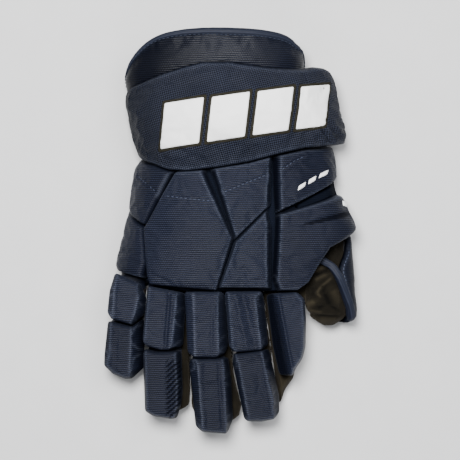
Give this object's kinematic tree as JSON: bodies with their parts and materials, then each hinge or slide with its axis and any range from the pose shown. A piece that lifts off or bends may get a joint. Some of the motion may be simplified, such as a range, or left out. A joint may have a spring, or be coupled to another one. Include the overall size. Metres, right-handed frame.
{
  "type": "ice hockey glove",
  "caption": "Right-hand ice hockey glove with padded back, segmented finger rolls, hinged cuff, hinged thumb and suede palm.",
  "frame": {"origin": "underside of the palm overlay, below the middle of the palm", "axes": "+Z out of the back of the hand, -Y towards the fingertips, +X towards the thumb"},
  "size_m": [0.2257, 0.3669, 0.0824],
  "materials": {
    "navy_woven": "ribbed woven polyester over foam, low sheen",
    "navy_mesh": "knitted mesh, matt",
    "brown_suede": "brushed synthetic suede",
    "dark_lining": "brushed knit lining",
    "white_plastic": "translucent white polyethylene sheet",
    "white_thread": "satin embroidery"
  },
  "bodies": {
    "hand": {"pad_wrist_pinky": "navy_woven", "pad_side_pinky": "navy_woven", "pad_centre": "navy_woven", "pad_wrist_middle": "navy_woven", "pad_knuckle_middle": "navy_woven", "pad_wrist_index": "navy_woven", "pad_thumb_saddle": "navy_woven", "backhand_carrier": "navy_mesh", "backhand_insert_plate": "white_plastic", "pinky_side_gusset": "brown_suede", "palm_panel": "brown_suede", "palm_overlay": "brown_suede", "hand_liner": "dark_lining", "thumb_web_gusset": "brown_suede", "pad_mark_1": "white_thread", "pad_mark_2": "white_thread", "pad_mark_3": "white_thread"},
    "cuff": {"cuff_collar": "navy_woven", "cuff_lining": "dark_lining", "cuff_binding": "navy_woven", "cuff_roll": "navy_mesh", "cuff_insert_plate": "white_plastic", "cuff_block_1": "white_thread", "cuff_block_2": "white_thread", "cuff_block_3": "white_thread", "cuff_block_4": "white_thread"},
    "pinky_proximal": {"pinky_roll_proximal": "navy_woven", "pinky_stall_proximal": "brown_suede", "pinky_insert_proximal": "white_plastic"},
    "pinky_distal": {"pinky_roll_distal": "navy_woven", "pinky_stall_distal": "brown_suede", "pinky_insert_distal": "white_plastic"},
    "ring_proximal": {"ring_roll_proximal": "navy_woven", "ring_stall_proximal": "brown_suede", "ring_insert_proximal": "white_plastic"},
    "ring_distal": {"ring_roll_distal": "navy_woven", "ring_stall_distal": "brown_suede", "ring_insert_distal": "white_plastic"},
    "middle_proximal": {"middle_roll_proximal": "navy_woven", "middle_stall_proximal": "brown_suede", "middle_insert_proximal": "white_plastic"},
    "middle_distal": {"middle_roll_distal": "navy_woven", "middle_stall_distal": "brown_suede", "middle_insert_distal": "white_plastic"},
    "index_proximal": {"index_roll_proximal": "navy_woven", "index_stall_proximal": "brown_suede", "index_insert_proximal": "white_plastic", "index_side_roll": "navy_woven"},
    "index_distal": {"index_roll_distal": "navy_woven", "index_stall_distal": "brown_suede", "index_insert_distal": "white_plastic"},
    "thumb_base": {"thumb_stall_base": "brown_suede", "thumb_insert_plate": "white_plastic", "thumb_pad_base": "navy_woven"},
    "thumb_tip": {"thumb_stall_tip": "brown_suede", "thumb_pad_tip": "navy_woven"}
  },
  "joints": [
    {"name": "cuff_flex", "type": "hinge", "parent": "hand", "child": "cuff", "pos_m": [0, 0.057, 0.052], "axis": [1, 0, 0], "range_deg": [-3, 14], "stiffness_Nm_per_rad": 1.2},
    {"name": "pinky_knuckle", "type": "hinge", "parent": "hand", "child": "pinky_proximal", "pos_m": [-0.0825, -0.0395, 0.014], "axis": [0.9977, -0.0684, 0], "range_deg": [-2, 60], "stiffness_Nm_per_rad": 0.35},
    {"name": "pinky_middle_joint", "type": "hinge", "parent": "pinky_proximal", "child": "pinky_distal", "pos_m": [-0.08534, -0.0809, 0.012], "axis": [0.9977, -0.0684, 0], "range_deg": [-2, 65], "stiffness_Nm_per_rad": 0.3},
    {"name": "ring_knuckle", "type": "hinge", "parent": "hand", "child": "ring_proximal", "pos_m": [-0.051, -0.049, 0.014], "axis": [0.9998, -0.0215, 0], "range_deg": [-2, 60], "stiffness_Nm_per_rad": 0.35},
    {"name": "ring_middle_joint", "type": "hinge", "parent": "ring_proximal", "child": "ring_distal", "pos_m": [-0.05217, -0.10329, 0.012], "axis": [0.9998, -0.0215, 0], "range_deg": [-2, 65], "stiffness_Nm_per_rad": 0.3},
    {"name": "middle_knuckle", "type": "hinge", "parent": "hand", "child": "middle_proximal", "pos_m": [-0.016, -0.0506, 0.014], "axis": [0.9978, 0.0666, 0], "range_deg": [-2, 60], "stiffness_Nm_per_rad": 0.35},
    {"name": "middle_middle_joint", "type": "hinge", "parent": "middle_proximal", "child": "middle_distal", "pos_m": [-0.01203, -0.11007, 0.012], "axis": [0.9978, 0.0666, 0], "range_deg": [-2, 65], "stiffness_Nm_per_rad": 0.3},
    {"name": "index_knuckle", "type": "hinge", "parent": "hand", "child": "index_proximal", "pos_m": [0.019, -0.0496, 0.014], "axis": [0.9903, 0.1392, 0], "range_deg": [-2, 60], "stiffness_Nm_per_rad": 0.35},
    {"name": "index_middle_joint", "type": "hinge", "parent": "index_proximal", "child": "index_distal", "pos_m": [0.02671, -0.10446, 0.012], "axis": [0.9903, 0.1392, 0], "range_deg": [-2, 65], "stiffness_Nm_per_rad": 0.3},
    {"name": "thumb_opposition", "type": "hinge", "parent": "hand", "child": "thumb_base", "pos_m": [0.084, -0.002, 0.014], "axis": [0, 1, 0], "range_deg": [-10, 25], "stiffness_Nm_per_rad": 0.5},
    {"name": "thumb_flex", "type": "hinge", "parent": "thumb_base", "child": "thumb_tip", "pos_m": [0.095, -0.046, 0.003], "axis": [1, 0, 0], "range_deg": [-2, 28], "stiffness_Nm_per_rad": 0.4}
  ]
}
